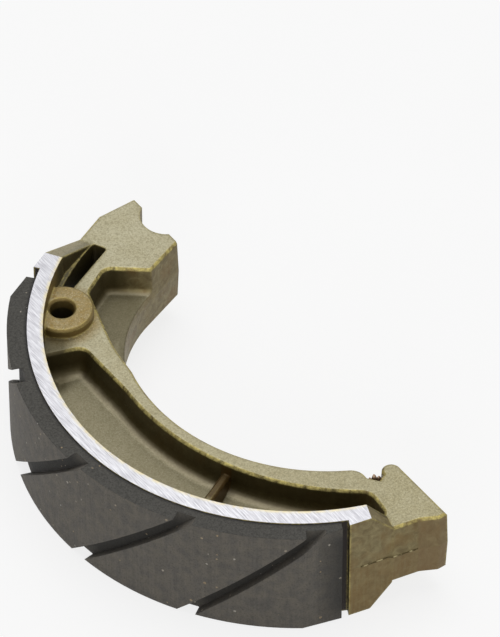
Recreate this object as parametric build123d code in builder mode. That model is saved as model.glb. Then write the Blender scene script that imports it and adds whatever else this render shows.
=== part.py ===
from build123d import *
from math import copysign, cos, degrees, radians, sin, sqrt, tan
import os

# Shoe of a 110 mm internal-expanding drum brake: one die casting and the friction lining bonded to it.
# Millimetres. The drum axis is +Z and passes through the origin, and the lower machined rim face is z = 0.
# The shoe lies on the -X side, with its anchor pin at +Y and its brake cam at -Y.

os.makedirs("parts", exist_ok=True)

# Drum and rim
drum_bore_radius = 55.0
wear_clearance = 0.2
lining_thickness = 3.7
bond_line = 0.1
rim_thickness = 3.0
shoe_width = 25.0
rim_anchor_angle = 122.4
rim_cam_angle = 249.2
rim_draft = 2.5

# Retaining lips at the rim's ends, and the lining between them
lip_height = 1.3
lip_length = 4.2
lip_root_height = 0.5
anchor_end_gap = 2.6
cam_end_gap = 1.4
lining_side_inset = 0.2
anchor_chamfer_length = 5.8
cam_chamfer_length = 7.6
end_chamfer_depth = 1.9
groove_count = 4
groove_width = 2.6
groove_depth = 2.1
groove_pitch_angle = 26.4
groove_lead = 342.0
first_groove_angle = 145.4

# Plate: the cast body inside the rim, as deep as the inner flange, the anchor fork and the cam pad
plate_depth = 14.8
plate_draft = 3.5
cast_edge_break = 0.45
edge_break_angle = 45.0
web_thickness = 3.0
pocket_draft = 3.0
pocket_floor_round = 2.4

# Anchor fork, cut to seat on the anchor pin
anchor_pin_radius = 5.0
anchor_pin_clearance = 0.2
anchor_pin_y = 42.2
fork_face_x = -2.7
fork_inner_y = 35.0
fork_tip_y = 49.7

# Cam pad
cam_half_thickness = 3.2
cam_pad_clearance = 0.2
cam_pad_outer_y = -51.7
cam_lobe_radius = 1.8
cam_lobe_y = -36.9

# Inner flange: an arc towards the hub, and a thickness outside it that grows towards the cam pad
flange_inner_center = (8.4, 1.9)
flange_inner_radius = 39.3
flange_cam_angle = 243.8
flange_cam_thickness = 6.3
flange_mid_angle = 180.0
flange_mid_thickness = 2.8
flange_anchor_angle = 170.4
flange_anchor_thickness = 3.1
flange_end_y = -32.9
flange_end_round = 3.0

# Return-spring boss
boss_axis_radius = 45.1
boss_angle = 134.9
boss_radius = 6.1
boss_depth = 19.0
boss_edge_break = 0.4
spring_hole_radius = 2.4

# Slot between the anchor arm and the rim
slot_rim_wall = 1.0
slot_arm_angle = 109.8
slot_boss_angle = 127.6

# Cross rib
rib_angle = 211.2
rib_thickness = 1.8
rib_height_at_rim = 8.2
rib_height_at_flange = 4.6

# Ramps at the rim's ends
anchor_ramp_angle = 12.0
cam_ramp_angle = 5.1

# Ejector columns and marks on the underside
ejector_column_radius = 2.75
ejector_column_axis_radius = 47.6
ejector_column_angles = (149.6, rib_angle)
ejector_mark_radius = 2.45
ejector_mark_depth = 0.2
ejector_marks = ((-10.0, -44.6), (-11.2, 40.7))

# Sizes that follow
lining_radius = drum_bore_radius - wear_clearance
bond_radius = lining_radius - lining_thickness - bond_line
rim_inner_radius = bond_radius - rim_thickness
lip_radius = bond_radius + lip_height
lip_root_radius = bond_radius + lip_root_height
lip_angle = degrees(lip_length / bond_radius)
inside_rim = bond_radius - rim_thickness / 2
slot_outer_radius = rim_inner_radius - slot_rim_wall
mid_height = shoe_width / 2
plate_top = mid_height + plate_depth / 2
plate_bottom = mid_height - plate_depth / 2
edge_top = plate_top - cast_edge_break
web_top = mid_height + web_thickness / 2
web_bottom = mid_height - web_thickness / 2
cam_face_x = -(cam_half_thickness + cam_pad_clearance)


def polar(radius, angle):
    """Plan point at a radius and angle about the drum axis."""
    return (radius * cos(radians(angle)), radius * sin(radians(angle)))


def left_of(center, radius, y):
    """Plan point at height y on the left side of a circle."""
    return (center[0] - sqrt(radius**2 - (y - center[1]) ** 2), y)


def on_line(start, end, x):
    """Plan point at x on the line through two points."""
    return (x, start[1] + (end[1] - start[1]) * (x - start[0]) / (end[0] - start[0]))


def flange_outside(angle, thickness):
    """Plan point outside the flange's inner arc, at an angle about that arc's center."""
    x, y = polar(flange_inner_radius + thickness, angle)
    return (flange_inner_center[0] + x, flange_inner_center[1] + y)


def radial_plane(angle):
    """Upright plane through the drum axis: local x runs outwards, local y runs along the axis."""
    return Plane(origin=(0, 0, 0), x_dir=(*polar(1, angle), 0), z_dir=(*polar(1, angle - 90), 0))


def section_box(inner, outer, bottom, top):
    """Rectangle in a radial plane, between two radii and two heights."""
    with BuildLine() as outline:
        Polyline((inner, bottom), (outer, bottom), (outer, top), (inner, top), close=True)
    return make_face(outline.line)


# Rim: a band revolved about the drum axis, its inner walls drafted and rounded into a stub of web
web_stub_length = 1.5
web_stub_radius = rim_inner_radius - pocket_floor_round - web_stub_length
rim_wall_step = (mid_height - web_thickness / 2) * tan(radians(rim_draft))

with BuildPart() as rim:
    with BuildSketch(radial_plane(rim_anchor_angle)):
        with BuildLine():
            Polyline(
                (bond_radius, 0),
                (bond_radius, shoe_width),
                (rim_inner_radius, shoe_width),
                (rim_inner_radius - rim_wall_step, web_top),
                (web_stub_radius, web_top),
                (web_stub_radius, web_bottom),
                (rim_inner_radius - rim_wall_step, web_bottom),
                (rim_inner_radius, 0),
                close=True,
            )
        make_face()
        wall_roots = [level.sort_by(Axis.X)[-1] for level in vertices().group_by(Axis.Y)[1:3]]
        fillet(wall_roots, radius=pocket_floor_round)
    revolve(axis=Axis.Z, revolution_arc=rim_cam_angle - rim_anchor_angle)
    # Lips, highest beside the lining and falling away towards the rim's ends
    with BuildSketch():
        for rim_end, turn in ((rim_anchor_angle, 1), (rim_cam_angle, -1)):
            with BuildLine():
                Polyline(
                    polar(inside_rim, rim_end + turn * lip_angle),
                    polar(lip_radius, rim_end + turn * lip_angle),
                    polar(lip_root_radius, rim_end),
                    polar(inside_rim, rim_end),
                    close=True,
                )
            make_face()
    extrude(amount=shoe_width)

# Pocket between rim and flange, sunk from each side down to the web, its mouth broken at 45 degrees
pocket_boss_angle = 149.0
pocket_rim_margin = 1.7
pocket_neck_margin = 0.3
pocket_cam_reach = 5.6
pocket_cam_round = 2.2
pocket_foot_round = 3.0
pocket_anchor_round = 2.4
pocket_start = polar(bond_radius, pocket_boss_angle)
pocket_rim_end = polar(bond_radius, rim_cam_angle - pocket_rim_margin)
pocket_cam_neck = polar(rim_inner_radius, rim_cam_angle - pocket_neck_margin)
pocket_cam_corner = polar(rim_inner_radius, rim_cam_angle + pocket_cam_reach)
pocket_cam_foot = flange_outside(flange_cam_angle, flange_cam_thickness)
pocket_flange_mid = flange_outside(flange_mid_angle, flange_mid_thickness)
pocket_anchor_foot = flange_outside(flange_anchor_angle, flange_anchor_thickness)
pocket_anchor_corner = (-33.4, 22.8)

with BuildPart() as pocket:
    with BuildSketch(Plane.XY.offset(edge_top)) as pocket_mouth:
        with BuildLine():
            ThreePointArc(pocket_start, polar(bond_radius, rib_angle), pocket_rim_end)
            Polyline(pocket_rim_end, pocket_cam_neck, pocket_cam_corner, pocket_cam_foot)
            ThreePointArc(pocket_cam_foot, pocket_flange_mid, pocket_anchor_foot)
            Polyline(pocket_anchor_foot, pocket_anchor_corner, pocket_start)
        make_face()
        fillet(vertices().sort_by_distance(pocket_cam_corner)[0], radius=pocket_cam_round)
        fillet(vertices().sort_by_distance(pocket_cam_foot)[0], radius=pocket_foot_round)
        fillet(vertices().sort_by_distance(pocket_anchor_corner)[0], radius=pocket_anchor_round)
    extrude(amount=-(edge_top - web_top), taper=pocket_draft)
    fillet(faces().sort_by(Axis.Z)[0].edges(), radius=pocket_floor_round)
    extrude(pocket_mouth.sketch, amount=cast_edge_break, taper=-edge_break_angle)
    mirror(about=Plane.XY.offset(mid_height))

# Recess on the upper side, where the return spring passes the anchor arm
recess_cam_corner = (-30.2, 6.5)
recess_flange_bend = (-28.6, 19.5)
recess_boss_corner = (-24.0, 34.2)
recess_arm_corner = (-18.0, 37.5)
recess_mouth = ((-10.0, 31.0), (-8.0, 20.0), (-22.0, 4.0))
recess_corner_round = 2.2
recess_bend_round = 30.0
recess_floor_round = 1.2

with BuildPart() as recess:
    with BuildSketch(Plane.XY.offset(edge_top)) as recess_mouth_sketch:
        with BuildLine():
            Polyline(
                recess_cam_corner,
                recess_flange_bend,
                recess_boss_corner,
                recess_arm_corner,
                *recess_mouth,
                close=True,
            )
        make_face()
        fillet(vertices().sort_by(Axis.Y)[-2:], radius=recess_corner_round)
        fillet(vertices().sort_by_distance(recess_flange_bend)[0], radius=recess_bend_round)
    extrude(amount=-(edge_top - web_top), taper=pocket_draft)
    fillet(faces().sort_by(Axis.Z)[0].edges(), radius=recess_floor_round)
    extrude(recess_mouth_sketch.sketch, amount=cast_edge_break, taper=-edge_break_angle)

# Plate outline just under its upper face: outer arm, rim, cam pad, flange and inner arm in one loop
arm_shoulder = (-10.6, fork_tip_y + 0.1)
arm_root = polar(bond_radius - 1.1, rim_anchor_angle - 9.0)
cam_root = polar(bond_radius - 0.2, rim_cam_angle + cam_ramp_angle)
cam_shoulder = (-8.4, -50.0)
cam_nose = (-5.2, cam_pad_outer_y)
lobe_back = (cam_face_x - 2 * cam_lobe_radius, cam_lobe_y)
notch_bottom = (-8.4, -37.6)
notch_flange_side = (-9.9, -35.6)
flange_end = left_of(flange_inner_center, flange_inner_radius, flange_end_y)
arm_start = left_of(flange_inner_center, flange_inner_radius, 14.0)
arm_tangent = (arm_start[1] - flange_inner_center[1], flange_inner_center[0] - arm_start[0])
arm_straight_start = (-13.3, 31.1)
rim_anchor_overlap = polar(inside_rim, rim_anchor_angle + 2)
rim_cam_overlap = polar(inside_rim, rim_cam_angle - 2)
trim = 4.0
cam_shoulder_round = 2.0
cam_nose_round = 0.8

with BuildPart() as plate:
    with BuildSketch(Plane.XY.offset(edge_top)) as plate_outline:
        with BuildLine():
            Polyline(
                arm_straight_start,
                on_line(arm_straight_start, (fork_face_x, fork_inner_y), fork_face_x + trim),
                on_line(arm_shoulder, (fork_face_x, fork_tip_y), fork_face_x + trim),
                arm_shoulder,
                arm_root,
                rim_anchor_overlap,
            )
            ThreePointArc(
                rim_anchor_overlap,
                polar(inside_rim, (rim_anchor_angle + rim_cam_angle) / 2),
                rim_cam_overlap,
            )
            Polyline(
                rim_cam_overlap,
                cam_root,
                cam_shoulder,
                cam_nose,
                (cam_face_x, cam_pad_outer_y),
                (cam_face_x, cam_lobe_y),
            )
            ThreePointArc(
                (cam_face_x, cam_lobe_y),
                (cam_face_x - cam_lobe_radius, cam_lobe_y + cam_lobe_radius),
                lobe_back,
            )
            Polyline(lobe_back, notch_bottom, notch_flange_side, flange_end)
            ThreePointArc(
                flange_end,
                (flange_inner_center[0] - flange_inner_radius, flange_inner_center[1]),
                arm_start,
            )
            TangentArc(arm_start, arm_straight_start, tangent=arm_tangent)
        make_face()
        fillet(vertices().sort_by_distance(flange_end)[0], radius=flange_end_round)
        fillet(vertices().sort_by_distance(cam_shoulder)[0], radius=cam_shoulder_round)
        fillet(vertices().sort_by_distance(cam_nose)[0], radius=cam_nose_round)
    extrude(amount=-(edge_top - mid_height), taper=-plate_draft)
    extrude(plate_outline.sketch, amount=cast_edge_break, taper=edge_break_angle)
    mirror(about=Plane.XY.offset(mid_height))
    # Fork faces, anchor seat and cam face, all square to the web
    with BuildSketch():
        with Locations((fork_face_x, anchor_pin_y)):
            Rectangle(2 * trim, fork_tip_y - fork_inner_y + 2 * trim, align=(Align.MIN, Align.CENTER))
        with Locations((0, anchor_pin_y)):
            Circle(anchor_pin_radius + anchor_pin_clearance)
        with Locations((cam_face_x, (cam_pad_outer_y + cam_lobe_y) / 2)):
            Rectangle(2 * trim, cam_lobe_y - cam_pad_outer_y + 2 * trim, align=(Align.MIN, Align.CENTER))
    extrude(amount=shoe_width, mode=Mode.SUBTRACT)
    add(pocket.part, mode=Mode.SUBTRACT)
    add(recess.part, mode=Mode.SUBTRACT)

# Relief under the flange, sloping up towards the cam pad, where the return spring passes
relief_start = (-31.8, -3.3)
relief_heading = -65.2
relief_slope = 13.8
relief_overrun = 0.6
relief_hollow_radius = flange_inner_radius - 3.5
relief_cam_angle = 241.7
relief_cam_outer = flange_outside(relief_cam_angle, flange_cam_thickness + relief_overrun)
relief_mid_outer = flange_outside(flange_mid_angle, flange_mid_thickness + relief_overrun)
relief_top_outer = flange_outside(flange_anchor_angle, flange_anchor_thickness + relief_overrun)
relief_cam_inner = (-10.4, flange_end_y + 1.4)
relief_cam_hollow = left_of(flange_inner_center, relief_hollow_radius, flange_end_y + 4.4)
relief_top_hollow = left_of(flange_inner_center, relief_hollow_radius, 8.0)

with BuildPart() as flange_relief:
    with BuildSketch():
        with BuildLine():
            ThreePointArc(relief_top_outer, relief_mid_outer, relief_cam_outer)
            Polyline(relief_cam_outer, relief_cam_inner, relief_cam_hollow)
            ThreePointArc(
                relief_cam_hollow,
                (flange_inner_center[0] - relief_hollow_radius, flange_inner_center[1]),
                relief_top_hollow,
            )
            Line(relief_top_hollow, relief_top_outer)
        make_face()
    extrude(amount=mid_height)
    uphill = polar(sin(radians(relief_slope)), relief_heading)
    slope_plane = Plane(
        origin=(*relief_start, plate_bottom),
        z_dir=(-uphill[0], -uphill[1], cos(radians(relief_slope))),
    )
    split(bisect_by=slope_plane, keep=Keep.BOTTOM)

# Ramps that carry the full rim width down to the depth of the plate
arm_outer_radius = bond_radius - 1.3

with BuildPart() as ramps:
    with BuildSketch(radial_plane(rim_anchor_angle)):
        section_box(rim_inner_radius, lip_root_radius, 0, shoe_width)
    with BuildSketch(radial_plane(rim_anchor_angle - anchor_ramp_angle)):
        section_box(slot_outer_radius + 0.2, arm_outer_radius, plate_bottom, plate_top)
    loft(ruled=True)
    with BuildSketch(radial_plane(rim_cam_angle)):
        section_box(rim_inner_radius, lip_root_radius, 0, shoe_width)
    with BuildSketch(radial_plane(rim_cam_angle + cam_ramp_angle)):
        section_box(rim_inner_radius - 0.4, bond_radius - 0.2, plate_bottom, plate_top)
    loft(ruled=True)

# Boss for the return-spring hook, standing above and below the flange inside the rim
boss_center = polar(boss_axis_radius, boss_angle)

with BuildPart() as spring_boss:
    with BuildSketch(Plane.XY.offset(mid_height - boss_depth / 2)):
        with Locations(boss_center):
            Circle(boss_radius)
    extrude(amount=boss_depth)
    chamfer(faces().filter_by(Axis.Z).edges(), length=boss_edge_break)
    with BuildSketch():
        Circle(inside_rim)
    extrude(amount=shoe_width, mode=Mode.INTERSECT)

# Cross rib on both sides of the web, low at the flange and high at the rim
flange_rib_foot = 33.4

with BuildPart() as cross_rib:
    with BuildSketch(radial_plane(rib_angle)):
        with BuildLine():
            Polyline(
                (flange_rib_foot, mid_height - rib_height_at_flange),
                (inside_rim, mid_height - rib_height_at_rim),
                (inside_rim, mid_height + rib_height_at_rim),
                (flange_rib_foot, mid_height + rib_height_at_flange),
                close=True,
            )
        make_face()
    extrude(amount=rib_thickness / 2, both=True)
    chamfer(edges().filter_by(Axis.Z, reverse=True).group_by(Edge.length)[-1], length=cast_edge_break)

slot_corner_round = 0.6
slot_inner_arm = (-14.6, 41.5)
slot_inner_boss = (-27.7, 35.9)
slot_outer_arm = polar(slot_outer_radius, slot_arm_angle)
slot_outer_boss = polar(slot_outer_radius, slot_boss_angle)

with BuildPart() as shoe_casting:
    add(plate.part)
    add(flange_relief.part, mode=Mode.SUBTRACT)
    add(rim.part)
    add(ramps.part)
    add(spring_boss.part)
    add(cross_rib.part)
    # Slot between the anchor arm and the rim
    with BuildSketch():
        with BuildLine():
            ThreePointArc(
                slot_outer_arm,
                polar(slot_outer_radius, (slot_arm_angle + slot_boss_angle) / 2),
                slot_outer_boss,
            )
            Polyline(slot_outer_boss, slot_inner_boss, slot_inner_arm, slot_outer_arm)
        make_face()
        fillet(vertices(), radius=slot_corner_round)
    extrude(amount=shoe_width, mode=Mode.SUBTRACT)
    # Return-spring hole
    with Locations((*boss_center, mid_height + boss_depth / 2)):
        CounterSinkHole(spring_hole_radius, spring_hole_radius + boss_edge_break, boss_depth)
    # Ejector columns and marks on the underside
    with BuildSketch(Plane.XY.offset(ejector_mark_depth)):
        for column_angle in ejector_column_angles:
            with Locations(polar(ejector_column_axis_radius, column_angle)):
                Circle(ejector_column_radius)
    extrude(amount=mid_height - ejector_mark_depth)
    with BuildSketch(Plane.XY.offset(plate_bottom)):
        with Locations(*ejector_marks):
            Circle(ejector_mark_radius)
    extrude(amount=ejector_mark_depth, mode=Mode.SUBTRACT)
shoe_casting.part.label = "shoe_casting"
export_step(shoe_casting.part, "parts/shoe_casting.step")

# Helical cutter for one groove, on the drum axis, starting at angle zero
groove_overrun = 3.0
groove_climb = shoe_width + 2 * groove_overrun
groove_sweep_angle = 360 * groove_climb / groove_lead

with BuildPart() as groove_cutter:
    with BuildLine(Plane.XY.offset(-groove_overrun)) as groove_path:
        Helix(pitch=groove_lead, height=groove_climb, radius=lining_radius)
    with BuildSketch(Plane(origin=groove_path.line @ 0, x_dir=(1, 0, 0), z_dir=groove_path.line % 0)):
        Rectangle(2 * groove_depth, groove_width)
    sweep(path=groove_path.line, is_frenet=True)

# Friction lining: a moulded segment bonded between the lips, chamfered at its ends and grooved
lining_anchor_angle = rim_anchor_angle + lip_angle + degrees(anchor_end_gap / bond_radius)
lining_cam_angle = rim_cam_angle - lip_angle - degrees(cam_end_gap / bond_radius)
lining_ends = (
    (lining_anchor_angle, degrees(anchor_chamfer_length / lining_radius)),
    (lining_cam_angle, -degrees(cam_chamfer_length / lining_radius)),
)
overcut_angle = 0.1

with BuildPart() as friction_lining:
    with BuildSketch(radial_plane(lining_anchor_angle)):
        section_box(
            bond_radius + bond_line, lining_radius, lining_side_inset, shoe_width - lining_side_inset
        )
    revolve(axis=Axis.Z, revolution_arc=lining_cam_angle - lining_anchor_angle)
    with BuildSketch():
        for end_angle, chamfer_angle in lining_ends:
            outside_end = end_angle - copysign(overcut_angle, chamfer_angle)
            with BuildLine():
                Polyline(
                    polar(lining_radius - end_chamfer_depth, outside_end),
                    polar(drum_bore_radius, outside_end),
                    polar(drum_bore_radius + 1, end_angle + chamfer_angle),
                    polar(lining_radius, end_angle + chamfer_angle),
                    close=True,
                )
            make_face()
    extrude(amount=shoe_width, mode=Mode.SUBTRACT)
    first_turn = first_groove_angle - groove_sweep_angle / 2
    with PolarLocations(0, groove_count, first_turn, (groove_count - 1) * groove_pitch_angle, endpoint=True):
        add(groove_cutter.part, mode=Mode.SUBTRACT)
friction_lining.part.label = "friction_lining"
export_step(friction_lining.part, "parts/friction_lining.step")
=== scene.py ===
"""Looks of a drum-brake shoe: finishes for its two solids, its casting and bonding traces, and the stage."""

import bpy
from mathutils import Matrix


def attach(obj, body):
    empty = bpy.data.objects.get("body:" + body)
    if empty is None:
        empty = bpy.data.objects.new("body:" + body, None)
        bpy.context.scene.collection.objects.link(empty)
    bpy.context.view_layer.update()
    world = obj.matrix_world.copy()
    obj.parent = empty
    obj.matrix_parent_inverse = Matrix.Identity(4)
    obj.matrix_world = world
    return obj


bl_info = {
    "name": "Brake shoe looks",
    "version": (1, 0, 0),
    "blender": (4, 5, 0),
    "location": "View3D > Sidebar > Brake shoe",
    "description": "Dresses the packed solids of a drum-brake shoe and sets a plain studio stage",
    "category": "Object",
}

import math

import bpy
import numpy as np

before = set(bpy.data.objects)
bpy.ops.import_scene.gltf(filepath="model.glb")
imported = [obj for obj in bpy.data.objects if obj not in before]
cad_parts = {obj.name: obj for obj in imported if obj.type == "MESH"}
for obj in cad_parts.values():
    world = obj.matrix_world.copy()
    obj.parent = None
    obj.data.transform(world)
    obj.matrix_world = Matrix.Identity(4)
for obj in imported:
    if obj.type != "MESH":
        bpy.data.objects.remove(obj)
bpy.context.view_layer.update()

# One millimetre in Blender's metres
MM = 0.001

# Places and sizes of the solids in mm, and the lining's ends in degrees
SHOE_WIDTH = 25.0
MID_HEIGHT = SHOE_WIDTH / 2
BOND_RADIUS = 51.0
BOND_LINE = 0.1
LINING_ANGLES = (130.0, 242.9)
FLANGE_CENTER = (8.4, 1.9)
FLANGE_RADIUS = 39.3
BOSS_CENTER = (-31.835, 31.946)
PLATE_TOP = 19.9
RIB_ANGLE = math.radians(211.2)

# How far the flange's wall stands out at mid height: draft over half its depth less the edge break
DRAFT_STEP = 6.95 * math.tan(math.radians(3.5))

# Clearance and ragged edge of the adhesive film in mm, and how far it stays off the lining's ends in degrees
FILM_CLEARANCE = 0.012
FILM_RAGGEDNESS = 0.25
FILM_END_ANGLE = 0.15

# How deep the seam and the flash are rooted in the casting, in mm
SEAM_ROOT = 0.12
FLASH_ROOT_DEPTH = 1.9

# Stage: places in metres, and the share of even white that the camera sees on the floor
FLOOR_DROP = 0.02 * MM
LAMP_TARGET = (-0.025, 0.0, 0.0125)
GLOW_SHARE = 0.8


def linear(hex_colour):
    """Linear RGBA of an sRGB hex colour."""
    srgb = np.array([int(hex_colour[i : i + 2], 16) / 255 for i in (1, 3, 5)])
    values = np.where(srgb <= 0.04045, srgb / 12.92, ((srgb + 0.055) / 1.055) ** 2.4)
    return (*values.tolist(), 1.0)


def add_node(tree, kind, inputs=None, **settings):
    """Adds one node with its settings. Its kind is the type's name without the ShaderNode that begins it.

    Each input is found by its place or name. It is linked where it is given a socket, or a node, which stands
    for that node's first output in use, and is set to the value otherwise.
    """
    node = tree.nodes.new("ShaderNode" + kind)
    for key, value in settings.items():
        setattr(node, key, value)
    for key, value in (inputs or {}).items():
        named = [socket for socket in node.inputs if socket.name == key and socket.enabled]
        socket = named[0] if named else node.inputs[key]
        if isinstance(value, bpy.types.Node):
            value = next(output for output in value.outputs if output.enabled)
        if isinstance(value, bpy.types.NodeSocket):
            tree.links.new(value, socket)
        else:
            socket.default_value = value
    return node


def new_material(name):
    """An empty node material and its tree, with a Principled shader wired to the output."""
    material = bpy.data.materials.new(name)
    material.use_nodes = True
    tree = material.node_tree
    tree.nodes.clear()
    shader = add_node(tree, "BsdfPrincipled")
    add_node(tree, "OutputMaterial", {"Surface": shader})
    return material, tree, shader


def mesh_piece(name, vertices, faces, material):
    """A smooth-shaded mesh object in the row frame, riding on the shoe."""
    mesh = bpy.data.meshes.new(name)
    mesh.from_pydata(vertices.reshape(-1, 3).tolist(), [], faces)
    mesh.polygons.foreach_set("use_smooth", np.ones(len(faces), dtype=bool))
    mesh.materials.append(material)
    mesh.update()
    piece = bpy.data.objects.new(name, mesh)
    bpy.context.scene.collection.objects.link(piece)
    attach(piece, "root")
    return piece


def tube_faces(rings, sides):
    """Quads of a grid of rings by sides whose last side meets the first, with one flat cap at each end."""
    ring, side = np.meshgrid(np.arange(rings - 1), np.arange(sides), indexing="ij")
    after = (side + 1) % sides
    here, ahead = ring * sides, (ring + 1) * sides
    corners = (here + side, here + after, ahead + after, ahead + side)
    quads = np.stack(corners, axis=-1).reshape(-1, 4).tolist()
    caps = [list(range(sides))[::-1], list(range((rings - 1) * sides, rings * sides))]
    return quads + caps


def wander(count, seed, waves, slowest, fastest):
    """Smooth random values from 0 to 1 along a line: sines with random phases, summed and scaled to fit."""
    random = np.random.default_rng(seed)
    along = np.linspace(0, 2 * np.pi, count)[:, None]
    frequency = random.integers(slowest, fastest, waves)[None, :]
    phase = random.uniform(0, 2 * np.pi, waves)[None, :]
    total = (np.sin(along * frequency + phase) / np.sqrt(frequency)).sum(axis=1)
    return (total - total.min()) / (total.max() - total.min())


def lay_over(tree, colour, layers):
    """Lays colours over a colour in turn.

    Each layer is a mask, the greatest share of the layer's colour that it lets through, and that colour.
    """
    for mask, greatest, tone in layers:
        share = add_node(tree, "Math", {0: mask, 1: greatest}, operation="MULTIPLY")
        colour = add_node(tree, "Mix", {"Factor": share, "A": colour, "B": tone}, data_type="RGBA")
    return colour


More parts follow.
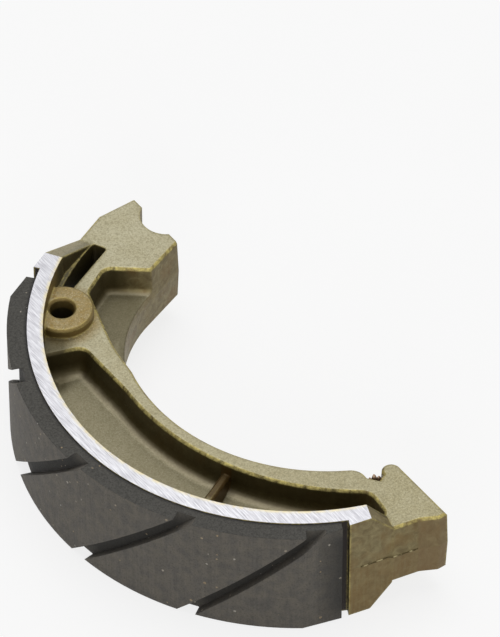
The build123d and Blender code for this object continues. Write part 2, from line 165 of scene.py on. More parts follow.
def cast_aluminium(colours):
    """Die-cast aluminium with a chromate conversion film.

    The film gives an olive bronze tint: sparkling on the flat faces, smoother on the drafted walls and amber
    on the boss. The flat faces are painted lighter and the walls darker, as if lit from above. The pockets
    and corners are painted darker as shade, and the edges carry a golden painted highlight. The rim's two
    side
    faces are milled afterwards: bare bright metal with a straight lay.
    """
    material, tree, shader = new_material("chromated_die_cast_aluminium")
    coords = add_node(tree, "TexCoord")
    place = add_node(tree, "Mapping", {"Vector": coords.outputs["Object"], "Scale": (1 / MM,) * 3})
    at = add_node(tree, "SeparateXYZ", {"Vector": place})
    x, y = at.outputs["X"], at.outputs["Y"]
    facing = add_node(tree, "SeparateXYZ", {"Vector": coords.outputs["Normal"]})
    level = add_node(tree, "Math", {0: facing.outputs["Z"]}, operation="ABSOLUTE")
    above = add_node(tree, "Math", {0: at.outputs["Z"], 1: MID_HEIGHT}, operation="SUBTRACT")
    height = add_node(tree, "Math", {0: above}, operation="ABSOLUTE")
    plan = add_node(tree, "CombineXYZ", {"X": x, "Y": y})
    radius = add_node(tree, "VectorMath", {0: plan}, operation="LENGTH").outputs["Value"]
    hub = {0: plan, 1: (*FLANGE_CENTER, 0.0)}
    from_hub = add_node(tree, "VectorMath", hub, operation="DISTANCE").outputs["Value"]
    boss = {0: plan, 1: (*BOSS_CENTER, 0.0)}
    from_boss = add_node(tree, "VectorMath", boss, operation="DISTANCE").outputs["Value"]

    # How squarely a wall faces the drum axis, and how far a point lies from the cross rib's middle
    radial = add_node(tree, "VectorMath", {0: plan}, operation="NORMALIZE")
    across = {0: radial, 1: coords.outputs["Normal"]}
    turned = add_node(tree, "VectorMath", across, operation="DOT_PRODUCT").outputs["Value"]
    square = add_node(tree, "Math", {0: turned}, operation="ABSOLUTE")
    side_step = {0: plan, 1: (math.sin(RIB_ANGLE), -math.cos(RIB_ANGLE), 0.0)}
    aside = add_node(tree, "VectorMath", side_step, operation="DOT_PRODUCT").outputs["Value"]
    off_rib = add_node(tree, "Math", {0: aside}, operation="ABSOLUTE")

    # Edges, where a rounded normal leaves the true one, 0.7 mm to each side
    true_normal = add_node(tree, "NewGeometry").outputs["Normal"]
    rounded = add_node(tree, "Bevel", {"Radius": 0.7 * MM}, samples=6)
    pair = {0: rounded, 1: true_normal}
    agree = add_node(tree, "VectorMath", pair, operation="DOT_PRODUCT").outputs["Value"]

    # Grain of 0.4 and 0.2 mm, blotches of 4 and 1.7 mm, and drag marks that the die drew along the walls
    grain = add_node(tree, "TexNoise", {"Vector": place, "Scale": 2.4, "Detail": 4.0, "Roughness": 0.65})
    sparkle = add_node(tree, "TexNoise", {"Vector": place, "Scale": 4.8, "Detail": 2.0})
    blotch = add_node(tree, "TexNoise", {"Vector": place, "Scale": 0.25, "Detail": 3.0})
    stains = {"Vector": place, "Scale": 0.6, "Detail": 5.0, "Roughness": 0.65, "Distortion": 0.8}
    stain = add_node(tree, "TexNoise", stains)
    drawn = add_node(tree, "Mapping", {"Vector": place, "Scale": (1.6, 1.6, 0.16)})
    drag = add_node(tree, "TexNoise", {"Vector": drawn, "Scale": 1.0, "Detail": 4.0, "Roughness": 0.6})

    # Milled faces: lay of 0.2 mm drawn out along Y, coarser than real so that it shows
    cut = {"Vector": place, "Scale": (4.6, 0.34, 0.01), "Rotation": (0.0, 0.0, 0.09)}
    lay_place = add_node(tree, "Mapping", cut)
    lay = add_node(tree, "TexNoise", {"Vector": lay_place, "Scale": 1.0, "Detail": 3.0, "Roughness": 0.6})
    deep_cut = {"Vector": place, "Scale": (6.0, 0.22, 0.01), "Rotation": (0.0, 0.0, 0.05)}
    deep_place = add_node(tree, "Mapping", deep_cut)
    deep_lay = add_node(tree, "TexNoise", {"Vector": deep_place, "Scale": 1.0, "Detail": 1.0})

    # Masks that rise from 0 to 1 between two values: places and heights in mm, slopes and noise as shares
    ramps = {
        "flat": (level, 0.80, 0.97),
        "low": (height, 5.5, 2.2),
        "high": (height, 6.9, 7.4),
        "inside_rim": (radius, 48.7, 48.2),
        "off_hub": (from_hub, 39.6, 42.5),
        "off_ends": (x, -9.5, -14.0),
        "on_boss": (from_boss, 8.8, 6.2),
        "hubward": (from_hub, 40.6, 39.2),
        "past_pocket": (y, 22.5, 25.5),
        "behind": (x, -12.6, -15.6),
        "armward": (y, 5.0, 14.0),
        "below_face": (height, 7.0, 6.5),
        "above_web": (above, 1.2, 1.45),
        "outside_slot": (radius, 46.6, 46.95),
        "before_arm": (x, -15.5, -18.0),
        "past_boss": (y, 34.0, 35.0),
        "near_rim": (radius, 41.0, 44.4),
        "off_rim": (radius, 48.1, 47.9),
        "above_pocket": (y, 19.0, 21.0),
        "below_boss": (y, 30.5, 28.0),
        "past_shoulder": (x, -8.9, -8.6),
        "outboard": (y, -49.4, -50.0),
        "sideways": (square, 0.4, 0.25),
        "proud": (radius, 50.85, 50.95),
        "under_lip": (radius, 51.3, 51.15),
        "upright": (level, 0.5, 0.3),
        "edge": (agree, 1.0, 0.8),
        "outer": (height, 5.5, 6.6),
        "over": (height, 6.75, 6.95),
        "under": (height, 7.5, 7.42),
        "tilt": (level, 0.3, 0.5),
        "slant": (level, 0.97, 0.85),
        "near_rib": (off_rib, 1.25, 1.0),
        "off_web": (height, 1.6, 2.2),
        "lower_half": (above, 0.15, -0.15),
        "camward": (y, -30.0, -44.0),
        "foot_start": (level, 0.62, 0.86),
        "foot_end": (level, 0.998, 0.97),
        "inner": (radius, 48.75, 48.05),
        "along": (y, -25.0, 40.0),
        "patch": (stain, 0.29, 0.69),
        "warm": (blotch, 0.46, 0.66),
        "mark": (drag, 0.45, 0.8),
        "pit": (grain, 0.56, 0.36),
        "spark": (sparkle, 0.56, 0.76),
        "rub": (grain, 0.34, 0.6),
        "trough": (lay, 0.32, 0.66),
        "scratch": (deep_lay, 0.62, 0.72),
    }
    mask = {
        name: add_node(tree, "MapRange", {"Value": value, "From Min": start, "From Max": end})
        for name, (value, start, end) in ramps.items()
    }

    # Masks that are 1 on one side of a value
    cuts = {
        "milled": (height, MID_HEIGHT - 0.004, "GREATER_THAN"),
        "on_plate": (height, 7.46, "LESS_THAN"),
        "off_ramps": (x, -20.0, "LESS_THAN"),
        "off_arm": (y, 42.0, "LESS_THAN"),
    }
    for name, (value, limit, side) in cuts.items():
        mask[name] = add_node(tree, "Math", {0: value, 1: limit}, operation=side)

    # Masks put together from others: pockets, boss ends, recess, ledge beside the slot, corner beside the
    # boss, the cam pad's end, glue on the lips' walls, edges for the painted highlight, cross rib, lower wall
    # and fillets
    combined = (
        ("sunk", "MULTIPLY", ("inside_rim", "off_hub", "off_ends")),
        ("boss_end", "MULTIPLY", ("on_boss", "high")),
        ("hub_or_arm", "MAXIMUM", ("hubward", "past_pocket")),
        ("recess", "MULTIPLY", ("behind", "armward", "hub_or_arm", "below_face", "above_web", "inside_rim")),
        ("ledge", "MULTIPLY", ("outside_slot", "inside_rim", "on_plate", "before_arm", "past_boss")),
        ("corner", "MULTIPLY", ("near_rim", "off_rim", "above_pocket", "below_boss", "on_plate")),
        ("pad_end", "MULTIPLY", ("past_shoulder", "outboard")),
        ("gap", "MULTIPLY", ("sideways", "proud")),
        ("gap_floor", "MULTIPLY", ("proud", "under_lip", "off_ramps", "off_arm")),
        ("glue", "MAXIMUM", ("gap", "gap_floor")),
        ("glued", "MULTIPLY", ("glue", "upright")),
        ("lip", "MAXIMUM", ("outer", "proud")),
        ("arris", "MULTIPLY", ("edge", "lip")),
        ("chamfer", "MULTIPLY", ("over", "under", "tilt", "slant")),
        ("golden", "MAXIMUM", ("arris", "chamfer")),
        ("rib", "MULTIPLY", ("near_rib", "off_web", "below_face", "sunk")),
        ("lower_wall", "MULTIPLY", ("lower_half", "camward")),
        ("foot", "MULTIPLY", ("foot_start", "foot_end", "low")),
    )
    for name, operation, (first, *others) in combined:
        mask[name] = mask[first]
        for other in others:
            mask[name] = add_node(tree, "Math", {0: mask[name], 1: mask[other]}, operation=operation)

    # Walls: dark to light in patches, with warm stains, browner on the lower half towards the cam, drag
    # marks,
    # and painted shade: a darker tone on the pocket walls
    wall_layers = (
        (mask["patch"], 1.0, colours.wall_light),
        (mask["warm"], 0.6, colours.wall_warm),
        (mask["lower_wall"], 0.45, colours.wall_warm),
        (mask["mark"], 0.45, colours.wall_streak),
        (mask["sunk"], 0.8, colours.pocket_wall_shade),
        (mask["glued"], 1.0, colours.adhesive_brown),
        (mask["pad_end"], 0.5, colours.pad_end),
        (mask["boss_end"], 0.6, colours.boss_face),
    )
    walls = lay_over(tree, colours.wall_dark, wall_layers)

    # Flat faces: greyer towards the fork, olive towards the cam, painted shade on the web in the pockets,
    # amber on the boss
    drift = add_node(tree, "MapRange", {"Value": blotch, "From Min": 0.35, "From Max": 0.65, "To Max": 0.6})
    tint = add_node(tree, "Math", {0: mask["along"], 1: drift}, operation="ADD")
    half_tint = add_node(tree, "Math", {0: tint, 1: 0.62}, operation="MULTIPLY", use_clamp=True)
    amber = add_node(tree, "MapRange", {"Value": stain, "From Min": 0.3, "From Max": 0.6, "To Min": 0.5})
    amber_share = add_node(tree, "Math", {0: amber, 1: mask["boss_end"]}, operation="MULTIPLY")
    dim = add_node(tree, "MapRange", {"Value": mask["low"], "To Min": 1.0, "To Max": 0.5})
    spark_share = add_node(tree, "Math", {0: mask["spark"], 1: dim}, operation="MULTIPLY")
    face_layers = (
        (half_tint, 1.0, colours.face_grey),
        (mask["low"], 0.85, colours.web_face_shade),
        (amber_share, 1.0, colours.boss_face),
        (mask["pit"], 0.42, colours.face_pit),
        (spark_share, 0.45, colours.face_spark),
    )
    faces = lay_over(tree, colours.face_olive, face_layers)

    # Walls and faces: flat faces painted lighter than walls as if lit from above, painted highlight on fillet
    # feet, amber on the rib, and painted shade in the recess, by the slot and beside the boss
    recess_shade_share = 0.0
    for name, greatest in (("recess", 0.5), ("ledge", 0.8), ("corner", 0.8)):
        share = add_node(tree, "Math", {0: mask[name], 1: greatest}, operation="MULTIPLY")
        recess_shade_share = add_node(tree, "Math", {0: recess_shade_share, 1: share}, operation="MAXIMUM")
    skin_layers = (
        (mask["flat"], 1.0, faces),
        (mask["foot"], 0.38, colours.fillet_highlight),
        (mask["rib"], 0.9, colours.rib_amber),
        (recess_shade_share, 1.0, colours.recess_shade),
    )
    skin = lay_over(tree, walls, skin_layers)

    # Painted highlight on the edges: golden, broken, and none in the corner beside the boss
    edge_highlight = lay_over(tree, colours.edge_highlight_dark, ((mask["rub"], 1.0, colours.edge_highlight_gold),))
    broken = add_node(tree, "MapRange", {"Value": stain, "From Min": 0.34, "From Max": 0.6, "To Min": 0.05})
    out_corner = add_node(tree, "Math", {0: 1.0, 1: mask["corner"]}, operation="SUBTRACT")
    golden_run = add_node(tree, "Math", {0: mask["golden"], 1: out_corner}, operation="MULTIPLY")
    edge_highlight_share = add_node(tree, "Math", {0: broken, 1: golden_run}, operation="MULTIPLY")

    # Milled metal with deeper cuts, warm at the inner edge, on top of the skin with its painted edge
    # highlight
    cream = add_node(tree, "Math", {0: mask["inner"], 1: broken}, operation="MULTIPLY")
    milled_layers = (
        (mask["trough"], 1.0, colours.milled),
        (mask["scratch"], 0.7, colours.milled_scratch),
        (cream, 1.0, colours.milled_warm),
    )
    milled_face = lay_over(tree, colours.milled_shade, milled_layers)
    colour = lay_over(tree, skin, ((edge_highlight_share, 1.0, edge_highlight), (mask["milled"], 1.0, milled_face)))

    # Gloss: milled faces are the smoothest, cast flats the roughest
    rubbed = {"Value": grain, "From Min": 0.3, "From Max": 0.7, "To Min": 0.6, "To Max": 0.42}
    skin_gloss = add_node(tree, "MapRange", rubbed)
    gloss = add_node(tree, "Mix", {"Factor": mask["milled"], "A": skin_gloss, "B": 0.34})

    # Relief: grain 0.03 mm deep, less on the walls, and a lay of 0.01 mm on the milled faces
    rough = add_node(tree, "Math", {0: grain, 1: sparkle}, operation="ADD")
    share = add_node(tree, "MapRange", {"Value": mask["flat"], "To Min": 0.012 * MM, "To Max": 0.03 * MM})
    skin_relief = add_node(tree, "Math", {0: rough, 1: share}, operation="MULTIPLY")
    lay_relief = add_node(tree, "Math", {0: lay, 1: 0.012 * MM}, operation="MULTIPLY")
    relief = add_node(tree, "Mix", {"Factor": mask["milled"], "A": skin_relief, "B": lay_relief})
    normals = {"Factor": mask["milled"], "A": rounded, "B": true_normal}
    base_normal = add_node(tree, "Mix", normals, data_type="VECTOR")
    bump = add_node(tree, "Bump", {"Height": relief, "Normal": base_normal, "Distance": 1.0})

    tree.links.new(colour.outputs[2], shader.inputs["Base Color"])
    tree.links.new(gloss.outputs[0], shader.inputs["Roughness"])
    tree.links.new(bump.outputs["Normal"], shader.inputs["Normal"])
    shader.inputs["Metallic"].default_value = 0.6
    return material


def friction_compound(colours):
    """Moulded friction compound, ground to its radius.

    A resin full of mineral and fibre: charcoal and matt, mottled in grain 0.3 mm across, with fine grinding
    streaks along its width on the curved face, and sparse chips of metal 0.2 to 0.6 mm across.
    """
    material, tree, shader = new_material("ground_friction_compound")
    coords = add_node(tree, "TexCoord")
    place = add_node(tree, "Mapping", {"Vector": coords.outputs["Object"], "Scale": (1 / MM,) * 3})
    at = add_node(tree, "SeparateXYZ", {"Vector": place})
    facing = add_node(tree, "SeparateXYZ", {"Vector": coords.outputs["Normal"]})
    level = add_node(tree, "Math", {0: facing.outputs["Z"]}, operation="ABSOLUTE")
    above = add_node(tree, "Math", {0: at.outputs["Z"], 1: MID_HEIGHT}, operation="SUBTRACT")
    height = add_node(tree, "Math", {0: above}, operation="ABSOLUTE")
    plan = add_node(tree, "CombineXYZ", {"X": at.outputs["X"], "Y": at.outputs["Y"]})
    radius = add_node(tree, "VectorMath", {0: plan}, operation="LENGTH").outputs["Value"]

    # Grain of 0.3 mm, mottle of 2 mm, streaks 0.6 mm wide along Z, one chip at most in a 2 mm cell
    grain = add_node(tree, "TexNoise", {"Vector": place, "Scale": 3.0, "Detail": 4.0, "Roughness": 0.7})
    mottle = add_node(tree, "TexNoise", {"Vector": place, "Scale": 0.5, "Detail": 3.0})
    drawn = add_node(tree, "Mapping", {"Vector": place, "Scale": (1.7, 1.7, 0.05)})
    streaks = {"Vector": drawn, "Scale": 1.0, "Detail": 4.0, "Roughness": 0.65}
    streak = add_node(tree, "TexNoise", streaks)
    chips = add_node(tree, "TexVoronoi", {"Vector": place, "Scale": 0.5})
    draw = add_node(tree, "SeparateColor", {"Color": chips.outputs["Color"]})
    size = add_node(tree, "MapRange", {"Value": draw.outputs["Blue"], "To Min": 0.06, "To Max": 0.15})
    chip_shape = add_node(tree, "Math", {0: chips.outputs["Distance"], 1: size}, operation="LESS_THAN")
    kept = add_node(tree, "Math", {0: draw.outputs["Red"], 1: 0.45}, operation="GREATER_THAN")
    chip = add_node(tree, "Math", {0: chip_shape, 1: kept}, operation="MULTIPLY")

    # Masks that rise from 0 to 1 between two values: places in mm, slopes and noise as shares
    ramps = {
        "side": (level, 0.85, 0.95),
        "warm": (mottle, 0.35, 0.65),
        "score": (streak, 0.4, 0.75),
        "speck": (grain, 0.35, 0.68),
        "pit": (grain, 0.5, 0.30),
        "below": (radius, 54.2, 53.0),
        "not_side": (level, 0.8, 0.6),
        "stain": (radius, 51.7, 51.25),
    }
    mask = {
        name: add_node(tree, "MapRange", {"Value": value, "From Min": start, "From Max": end})
        for name, (value, start, end) in ramps.items()
    }

    # Painted shade in the grooves, darkest at mid height, and worn chips
    walls = add_node(tree, "Math", {0: mask["below"], 1: mask["not_side"]}, operation="MULTIPLY")
    mouth = {"Value": height, "From Min": 9.0, "From Max": 12.3, "To Min": 1.0, "To Max": 0.35}
    fade = add_node(tree, "MapRange", mouth)
    groove_shade_share = add_node(tree, "Math", {0: walls, 1: fade}, operation="MULTIPLY")
    rubbed = {"Value": grain, "From Min": 0.35, "From Max": 0.6, "To Min": 0.2, "To Max": 0.85}
    wear = add_node(tree, "MapRange", rubbed)
    chip_share = add_node(tree, "Math", {0: chip, 1: wear}, operation="MULTIPLY")

    # Ground face and flat sides, then pits, painted shade in the grooves, the glue stain beside the bond
    # line, and chips
    ground_layers = ((mask["warm"], 1.0, colours.lining_warm), (mask["score"], 0.3, colours.lining_streak))
    ground = lay_over(tree, colours.lining_grey, ground_layers)
    side_face = lay_over(tree, colours.lining_side_dark, ((mask["speck"], 1.0, colours.lining_side),))
    chip_colour = lay_over(tree, colours.chip_bronze, ((draw.outputs["Green"], 1.0, colours.chip_steel),))
    layers = (
        (mask["side"], 1.0, side_face),
        (mask["pit"], 0.5, colours.lining_pit),
        (groove_shade_share, 0.85, colours.lining_groove_shade),
        (mask["stain"], 0.8, colours.adhesive),
        (chip_share, 1.0, chip_colour),
    )
    colour = lay_over(tree, ground, layers)

    # Matt, with grain and streaks 0.035 mm deep
    polish = {"Value": grain, "From Min": 0.3, "From Max": 0.7, "To Min": 0.82, "To Max": 0.62}
    gloss = add_node(tree, "MapRange", polish)
    scored = add_node(tree, "Math", {0: streak, 1: 0.8}, operation="MULTIPLY")
    relief = add_node(tree, "Math", {0: grain, 1: scored}, operation="ADD")
    depth = add_node(tree, "Math", {0: relief, 1: 0.035 * MM}, operation="MULTIPLY")
    rounded = add_node(tree, "Bevel", {"Radius": 0.2 * MM}, samples=4)
    bump = add_node(tree, "Bump", {"Height": depth, "Normal": rounded, "Distance": 1.0})
    tree.links.new(colour.outputs[2], shader.inputs["Base Color"])
    tree.links.new(gloss.outputs[0], shader.inputs["Roughness"])
    tree.links.new(bump.outputs["Normal"], shader.inputs["Normal"])
    shader.inputs["Specular IOR Level"].default_value = 0.35
    return material


def two_tone(name, per_mm, ends, tones, relief, constants):
    """A material of two colours that one noise mixes, with the same noise as its relief.

    per_mm is how many lumps of the noise go into a millimetre, ends are its values at the first and at the
    second colour, relief is the bump's strength and its depth in mm, and constants are values for the
    shader's own sockets.
    """
    material, tree, shader = new_material(name)
    coords = add_node(tree, "TexCoord")
    noise = {"Vector": coords.outputs["Object"], "Scale": per_mm / MM, "Detail": 3.0}
    lumps = add_node(tree, "TexNoise", noise)
    share = add_node(tree, "MapRange", {"Value": lumps, "From Min": ends[0], "From Max": ends[1]})
    colour = lay_over(tree, tones[0], ((share, 1.0, tones[1]),))
    strength, depth = relief
    bump = add_node(tree, "Bump", {"Height": lumps, "Strength": strength, "Distance": depth * MM})
    tree.links.new(colour.outputs[2], shader.inputs["Base Color"])
    tree.links.new(bump.outputs["Normal"], shader.inputs["Normal"])
    for socket, value in constants.items():
        shader.inputs[socket].default_value = value
    return material


def cured_adhesive(colours):
    """Phenolic bonding adhesive, cured under pressure: a thin near-black film with a dull gloss."""
    tones = (colours.adhesive, colours.adhesive_brown)
    return two_tone("cured_phenolic_adhesive", 1.8, (0.35, 0.7), tones, (0.3, 0.05), {"Roughness": 0.55})


def trimmed_seam(colours):
    """Parting seam after trimming: dark where film fills its foot, bright where the tool scraped it."""
    tones = (colours.seam_dark, colours.seam_bright)
    constants = {"Metallic": 0.6, "Roughness": 0.45}
    return two_tone("trimmed_parting_seam", 0.7, (0.5, 0.62), tones, (0.5, 0.1), constants)


def torn_aluminium(colours):
    """Flash torn off the casting after the bath: bare metal that has tarnished to a coppery pink."""
    tones = (colours.flash_dark, colours.flash_light)
    constants = {"Metallic": 0.7, "Roughness": 0.5}
    return two_tone("torn_aluminium_flash", 2.5, (0.4, 0.65), tones, (0.6, 0.1), constants)


def seen_directly(tree):
    """1 for rays that are to find the white background: the camera's, off gloss and through glass."""
    path = add_node(tree, "LightPath")
    seen = path.outputs["Is Camera Ray"]
    for name in ("Is Glossy Ray", "Is Transmission Ray"):
        seen = add_node(tree, "Math", {0: seen, 1: path.outputs[name]}, operation="MAXIMUM")
    return seen


def white_card():
    """Matt white card on the studio table: near white to the camera, with the object's shadow left on it."""
    material, tree, shader = new_material("matt_white_card")
    coords = add_node(tree, "TexCoord")

    # The tone drifts slightly over 50 mm
    drift = add_node(tree, "TexNoise", {"Vector": coords.outputs["Object"], "Scale": 0.02 / MM})
    tone = add_node(tree, "MapRange", {"Value": drift, "From Min": 0.3, "From Max": 0.7})
    colour = lay_over(tree, linear("#F4F4F4"), ((tone, 1.0, linear("#F8F8F8")),))
    tree.links.new(colour.outputs[2], shader.inputs["Base Color"])
    shader.inputs["Roughness"].default_value = 0.9
    shader.inputs["Specular IOR Level"].default_value = 0.1

    # Even white for the rays that find the background, and lit card for the rest and for the shadow
    glow = add_node(tree, "Emission", {"Color": (1.0, 1.0, 1.0, 1.0), "Strength": 1.0})
    share = add_node(tree, "Math", {0: seen_directly(tree), 1: GLOW_SHARE}, operation="MULTIPLY")
    blend = add_node(tree, "MixShader", {0: share, 1: shader, 2: glow})
    output = next(node for node in tree.nodes if node.type == "OUTPUT_MATERIAL")
    tree.links.new(blend.outputs["Shader"], output.inputs["Surface"])
    return material


def colour_setting(name, description, hex_colour):
    """A colour property whose default is an sRGB hex colour."""
    return bpy.props.FloatVectorProperty(
        name=name, description=description, default=linear(hex_colour), size=4, subtype="COLOR",
        min=0.0, max=1.0,
    )


class ShoeColours(bpy.types.PropertyGroup):
    """Colours of the casting, the lining and the adhesive."""

    # Wall tones are set darker than the face tones as painted shade on the drafted walls; their patches,
    # stains and drag marks are the film's own
    wall_dark: colour_setting("Wall, dark", "Film on the drafted walls where it is thick", "#5D4F2F")
    wall_light: colour_setting("Wall, light", "Film on the drafted walls where it is thin", "#8A7E58")
    wall_warm: colour_setting("Wall, warm", "Brown stains on the drafted walls", "#71592F")
    wall_streak: colour_setting("Wall streak", "Drag marks that the die left along the walls", "#857C58")
    # Painted shade: a darker tone on the walls of the pockets
    pocket_wall_shade: colour_setting("Pocket wall", "Thick film on the walls of the pockets", "#383013")
    # Face tones are set lighter than the wall tones as painted light on the flat faces; their drift and grain
    # are the skin's own
    face_olive: colour_setting("Face, olive", "Flat cast faces towards the cam", "#999171")
    face_grey: colour_setting("Face, grey", "Flat cast faces towards the fork", "#ABA58A")
    # Painted shade: the web's floor darker than the other flat faces, down in the pockets
    web_face_shade: colour_setting("Web face", "Flat faces of the web at the bottom of the pockets", "#807960")
    # Painted shade in the recess, on the ledge by the slot and in the corner by the boss
    recess_shade: colour_setting("Pooled film", "Film in the recess, by the slot and by the boss", "#3F371B")
    pad_end: colour_setting("Pad end", "Film on the cam pad's end", "#735E40")
    # Painted highlight along the fillets where the web's floor turns up
    fillet_highlight: colour_setting("Fillet foot", "Thin film where the web's floor turns up", "#A2987F")
    rib_amber: colour_setting("Rib", "Amber film on the cross rib", "#4C3712")
    boss_face: colour_setting("Boss face", "Amber film on the ends of the spring boss", "#8A7440")
    face_pit: colour_setting("Face pits", "Bottoms of the cast skin's pits", "#6E6749")
    face_spark: colour_setting("Face sparkle", "Tops of the cast skin's grain", "#C5C0A8")
    # Painted highlight on the edges: a golden tint and its darker grain
    edge_highlight_gold: colour_setting("Edge, gold", "Film on the edges", "#BFB068")
    edge_highlight_dark: colour_setting("Edge, dark", "Film in the grain of the edges", "#9A8D58")
    milled: colour_setting("Milled face", "Bare milled aluminium", "#E3E3E7")
    milled_shade: colour_setting("Milled lay", "Troughs of the milling lay", "#B4B3B9")
    milled_scratch: colour_setting("Milled scratch", "Deeper cuts in the milling lay", "#8E8D95")
    milled_warm: colour_setting("Milled, warm", "Milled aluminium beside the inner edge", "#DDD0A4")
    lining_grey: colour_setting("Lining, grey", "Ground face of the lining", "#524F4A")
    lining_warm: colour_setting("Lining, warm", "Ground face where more resin shows", "#605B52")
    lining_streak: colour_setting("Lining streak", "Grinding streaks", "#736D65")
    lining_side: colour_setting("Lining side", "Flat sides of the lining", "#4E4C47")
    lining_side_dark: colour_setting("Lining side, dark", "Grain on the flat sides", "#383733")
    lining_pit: colour_setting("Lining pits", "Pits between the grains", "#33312D")
    # Painted shade in the grooves of the lining
    lining_groove_shade: colour_setting("Lining groove", "Sawn walls and floors of the grooves", "#1F1E1B")
    chip_steel: colour_setting("Steel chip", "Steel chips in the compound", "#B9B6AE")
    chip_bronze: colour_setting("Bronze chip", "Bronze chips in the compound", "#A08A66")
    adhesive: colour_setting("Adhesive", "Cured adhesive film", "#1B1A1A")
    adhesive_brown: colour_setting("Adhesive, brown", "Thin spots of the film", "#2C2622")
    seam_dark: colour_setting("Seam, dark", "Film at the foot of the parting seam", "#4E4325")
    seam_bright: colour_setting("Seam, bright", "Parting seam where it was scraped", "#B3A87E")
    flash_dark: colour_setting("Flash, dark", "Torn flash in its hollows", "#7A6050")
    flash_light: colour_setting("Flash, light", "Torn flash on its crests", "#CBB09A")


def trace_length(name, description, millimetres):
    """A length property whose default is given in millimetres."""
    return bpy.props.FloatProperty(
        name=name, description=description, default=millimetres * MM, unit="LENGTH", precision=5
    )


class ShoeTraces(bpy.types.PropertyGroup):
    """Sizes of the traces that casting and bonding leave."""

    film_inset: trace_length("Film inset", "How far the adhesive film stays inside the lining's sides", 0.15)
    seam_height: trace_length("Seam height", "How far the die's parting seam stands off the wall", 0.2)
    seam_width: trace_length("Seam width", "Width of the die's parting seam", 0.42)
    flash_height: trace_length("Flash height", "Height of the torn flash beside the cam pad", 1.5)


class StageSettings(bpy.types.PropertyGroup):
    """Lamps, floor and camera."""

    floor_size: bpy.props.FloatProperty(
        name="Floor size", description="Side of the square floor", default=3.0, unit="LENGTH"
    )
    overhead_power: bpy.props.FloatProperty(
        name="Overhead lamp", description="Power of the large lamp above and behind", default=4.1,
        unit="POWER",
    )
    front_power: bpy.props.FloatProperty(
        name="Front lamp", description="Power of the soft lamp beside the camera", default=3.0, unit="POWER"
    )
    ambient: bpy.props.FloatProperty(
        name="Ambient", description="Strength of the even light from all round", default=0.3, min=0.0
    )
    azimuth: bpy.props.FloatProperty(
        name="Azimuth", description="Camera angle round the shoe", default=math.radians(-36.1),
        unit="ROTATION",
    )
    elevation: bpy.props.FloatProperty(
        name="Elevation", description="Camera angle above the table", default=math.radians(45.99),
        unit="ROTATION",
    )
    distance: bpy.props.FloatProperty(
        name="Distance", description="Camera to the point it looks at", default=1.281, unit="LENGTH"
    )
    lens: bpy.props.FloatProperty(
        name="Lens", description="Focal length on a 36 mm sensor", default=372.1, unit="CAMERA"
    )
    aim: bpy.props.FloatVectorProperty(
        name="Aim", description="Point that the camera looks at", default=(7.95 * MM, 25.8 * MM, 0.0),
        unit="LENGTH",
    )


def finish_node(name, material):
    """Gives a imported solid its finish."""
    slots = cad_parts[name].data.materials
    slots.clear()
    slots.append(material)


def bond_film(material, inset):
    """Adhesive film between rim and lining.

    A closed sheet: at each angle a rectangle from just outside the rim to just inside the lining, whose upper
    and lower edges wander in height, so the film shows as an uneven dark line.
    """
    steps = 420
    first, last = LINING_ANGLES
    angle = np.radians(np.linspace(first + FILM_END_ANGLE, last - FILM_END_ANGLE, steps))
    top = SHOE_WIDTH - inset - FILM_RAGGEDNESS * wander(steps, 3, 14, 20, 120)
    bottom = inset + FILM_RAGGEDNESS * wander(steps, 5, 14, 20, 120)
    inner = BOND_RADIUS + FILM_CLEARANCE
    outer = BOND_RADIUS + BOND_LINE - FILM_CLEARANCE
    radius = np.broadcast_to(np.array([inner, inner, outer, outer]), (steps, 4))
    level = np.stack((bottom, top, top, bottom), axis=1)
    x = radius * np.cos(angle)[:, None]
    y = radius * np.sin(angle)[:, None]
    vertices = np.stack((x, y, level), axis=-1) * MM
    return mesh_piece("bond_film", vertices, tube_faces(steps, 4), material)


def seam_ridge(name, line, outward, height, width, seed, material):
    """Parting seam at mid height, along a line of points on a wall.

    A low ridge: its section is a triangle whose base lies a little inside the wall, and whose crest stands
    off by a height that wanders between about a third and the whole of the one given.
    """
    steps = len(line)
    proud = height * (0.35 + 0.65 * wander(steps, seed, 12, 4, 60))
    half = width / 2 * (0.7 + 0.3 * wander(steps, seed + 1, 10, 4, 50))
    root = np.full(steps, -SEAM_ROOT)
    depth = np.stack((root, proud, root), axis=1)
    points = line[:, None, :] + depth[:, :, None] * outward[:, None, :]
    level = MID_HEIGHT + np.stack((half, 0 * half, -half), axis=1)
    vertices = np.concatenate((points, level[:, :, None]), axis=-1) * MM
    return mesh_piece(name, vertices, tube_faces(steps, 3), material)


def flange_line():
    """The flange's hub side at mid height: an arc inside the flange's own by the draft of the wall."""
    angle = np.radians(np.linspace(161.0, 233.5, 260))
    inward = np.stack((-np.cos(angle), -np.sin(angle)), axis=1)
    return np.array(FLANGE_CENTER) - (FLANGE_RADIUS - DRAFT_STEP) * inward, inward


def cam_line():
    """The outer wall behind the cam pad at mid height: straight runs from the rim's lip to the shoulder."""
    corners = np.array(
        [(-20.35, -47.71), (-18.25, -48.17), (-14.95, -48.73), (-13.9, -49.33), (-9.0, -50.33)]
    )
    run = np.concatenate(([0.0], np.cumsum(np.linalg.norm(np.diff(corners, axis=0), axis=1))))
    along = np.linspace(0.0, run[-1], 120)
    line = np.stack([np.interp(along, run, corners[:, axis]) for axis in (0, 1)], axis=1)
    ahead = np.gradient(line, axis=0)
    outward = np.stack((ahead[:, 1], -ahead[:, 0]), axis=1)
    return line, outward / np.linalg.norm(outward, axis=1)[:, None]


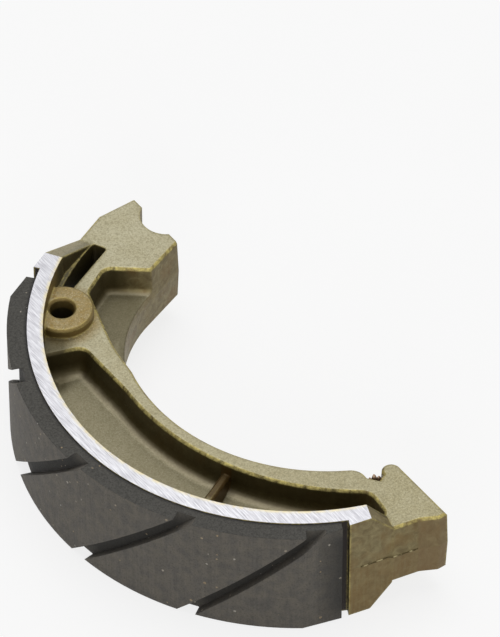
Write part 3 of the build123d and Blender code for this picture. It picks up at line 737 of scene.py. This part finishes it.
def notch_flash(material, height):
    """Torn flash in the notch between the flange's end and the cam pad's lobe.

    An upright web: a line across the notch, thickened to a lens of about 0.6 mm, whose upper edge rises in
    three torn points of uneven height and leans towards the hub.
    """
    steps = 64
    along = np.linspace(0, 1, steps)
    line = np.array([-9.75, -35.7]) + np.outer(along, np.array([2.5, -1.25]))
    across = np.array([0.447, 0.894])
    bulge = 0.26 * np.sin(np.pi * np.clip(along, 0.03, 0.97)) + 0.03
    teeth = 0.35 + 0.65 * np.abs(np.sin(np.pi * (2.6 * along + 0.35))) * (1.0 - 0.55 * along)
    crest = height * teeth * np.sin(np.pi * np.clip(along, 0.04, 0.96)) ** 0.6
    root = PLATE_TOP - FLASH_ROOT_DEPTH
    lean = 0.35 * crest
    sides = np.stack((bulge, -bulge, lean - 0.25 * bulge, lean + 0.25 * bulge), axis=1)
    points = line[:, None, :] + sides[:, :, None] * across
    level = np.stack((0 * crest + root, 0 * crest + root, root + 0.6 + crest, root + 0.6 + crest), axis=1)
    vertices = np.concatenate((points, level[:, :, None]), axis=-1) * MM
    return mesh_piece("notch_flash", vertices, tube_faces(steps, 4), material)


def area_lamp(name, place, power, size):
    """White rectangular lamp at a place, turned to the shoe."""
    lamp = bpy.data.lights.new(name, "AREA")
    lamp.energy = power
    lamp.shape = "RECTANGLE"
    lamp.size, lamp.size_y = size
    holder = bpy.data.objects.new(name, lamp)
    bpy.context.scene.collection.objects.link(holder)
    holder.location = place
    away = holder.location.copy()
    away.x -= LAMP_TARGET[0]
    away.y -= LAMP_TARGET[1]
    away.z -= LAMP_TARGET[2]
    holder.rotation_euler = away.to_track_quat("Z", "Y").to_euler()


def studio_air(ambient):
    """White to the camera and in reflections, and an even dimmer light on everything else."""
    world = bpy.data.worlds.new("studio_air")
    world.use_nodes = True
    tree = world.node_tree
    tree.nodes.clear()
    even = add_node(tree, "Background", {"Color": (1.0, 1.0, 1.0, 1.0), "Strength": ambient})
    white = add_node(tree, "Background", {"Color": (1.0, 1.0, 1.0, 1.0), "Strength": 1.0})
    mixed = add_node(tree, "MixShader", {0: seen_directly(tree), 1: even, 2: white})
    add_node(tree, "OutputWorld", {"Surface": mixed})
    return world


class SHOE_OT_casting(bpy.types.Operator):
    """Finish the casting as chromated die-cast aluminium with milled rim faces"""

    bl_idname = "shoe.casting"
    bl_label = "Finish casting"

    def execute(self, context):
        finish_node("shoe_casting", cast_aluminium(context.scene.shoe_colours))
        return {"FINISHED"}


class SHOE_OT_lining(bpy.types.Operator):
    """Finish the lining as ground friction compound"""

    bl_idname = "shoe.lining"
    bl_label = "Finish lining"

    def execute(self, context):
        finish_node("friction_lining", friction_compound(context.scene.shoe_colours))
        return {"FINISHED"}


class SHOE_OT_bond(bpy.types.Operator):
    """Add the adhesive film that fills the bond line, with a ragged edge"""

    bl_idname = "shoe.bond"
    bl_label = "Add bond film"

    def execute(self, context):
        bond_film(cured_adhesive(context.scene.shoe_colours), context.scene.shoe_traces.film_inset / MM)
        return {"FINISHED"}


class SHOE_OT_seams(bpy.types.Operator):
    """Add the die's parting seam on the hub side and behind the cam pad, and the flash left in the notch"""

    bl_idname = "shoe.seams"
    bl_label = "Add casting seams"

    def execute(self, context):
        traces = context.scene.shoe_traces
        height, width = traces.seam_height / MM, traces.seam_width / MM
        scraped = trimmed_seam(context.scene.shoe_colours)
        seam_ridge("flange_seam", *flange_line(), height, width, 11, scraped)
        seam_ridge("cam_seam", *cam_line(), height, width, 17, scraped)
        notch_flash(torn_aluminium(context.scene.shoe_colours), traces.flash_height / MM)
        return {"FINISHED"}


class SHOE_OT_stage(bpy.types.Operator):
    """Set the floor, the lamps, the ambient light and the camera"""

    bl_idname = "shoe.stage"
    bl_label = "Set stage"

    def execute(self, context):
        scene = context.scene
        settings = scene.shoe_stage
        half = settings.floor_size / 2
        mesh = bpy.data.meshes.new("studio_floor")
        corners = ((-half, -half), (half, -half), (half, half), (-half, half))
        mesh.from_pydata([(x, y, -FLOOR_DROP) for x, y in corners], [], [(0, 1, 2, 3)])
        mesh.materials.append(white_card())
        floor = bpy.data.objects.new("studio_floor", mesh)
        scene.collection.objects.link(floor)

        area_lamp("overhead_lamp", (0.06, 0.16, 0.9), settings.overhead_power, (0.7, 0.7))
        area_lamp("front_lamp", (-0.75, -0.75, 0.45), settings.front_power, (0.6, 0.4))
        scene.world = studio_air(settings.ambient)
        scene.view_settings.view_transform = "Standard"

        level = math.cos(settings.elevation)
        back = (
            math.sin(settings.azimuth) * level,
            -math.cos(settings.azimuth) * level,
            math.sin(settings.elevation),
        )
        data = bpy.data.cameras.new("camera")
        data.lens = settings.lens
        data.clip_start = 0.05
        data.clip_end = 20.0
        camera = bpy.data.objects.new("camera", data)
        scene.collection.objects.link(camera)
        camera.location = [start + settings.distance * step for start, step in zip(settings.aim, back)]
        camera.rotation_euler = (math.pi / 2 - settings.elevation, 0.0, settings.azimuth)
        scene.camera = camera
        return {"FINISHED"}


class SHOE_PT_sidebar(bpy.types.Panel):
    """Steps and settings of the brake shoe's looks"""

    bl_idname = "SHOE_PT_sidebar"
    bl_label = "Brake shoe"
    bl_space_type = "VIEW_3D"
    bl_region_type = "UI"
    bl_category = "Brake shoe"

    def draw(self, context):
        column = self.layout.column(align=True)
        for operator in OPERATORS:
            column.operator(operator.bl_idname)
        for group in (context.scene.shoe_traces, context.scene.shoe_stage, context.scene.shoe_colours):
            column.separator()
            for name in group.__annotations__:
                column.prop(group, name)


OPERATORS = (SHOE_OT_casting, SHOE_OT_lining, SHOE_OT_bond, SHOE_OT_seams, SHOE_OT_stage)
GROUPS = (ShoeColours, ShoeTraces, StageSettings)


def register():
    """Registers the settings, the operators and the panel."""
    for kind in (*GROUPS, *OPERATORS, SHOE_PT_sidebar):
        bpy.utils.register_class(kind)
    bpy.types.Scene.shoe_colours = bpy.props.PointerProperty(type=ShoeColours)
    bpy.types.Scene.shoe_traces = bpy.props.PointerProperty(type=ShoeTraces)
    bpy.types.Scene.shoe_stage = bpy.props.PointerProperty(type=StageSettings)


def unregister():
    """Removes the settings, the operators and the panel."""
    del bpy.types.Scene.shoe_stage
    del bpy.types.Scene.shoe_traces
    del bpy.types.Scene.shoe_colours
    for kind in reversed((*GROUPS, *OPERATORS, SHOE_PT_sidebar)):
        bpy.utils.unregister_class(kind)


def main():
    """Dresses the shoe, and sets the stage."""
    register()
    bpy.ops.shoe.casting()
    bpy.ops.shoe.lining()
    bpy.ops.shoe.bond()
    bpy.ops.shoe.seams()
    bpy.ops.shoe.stage()


if __name__ == "__main__":
    main()
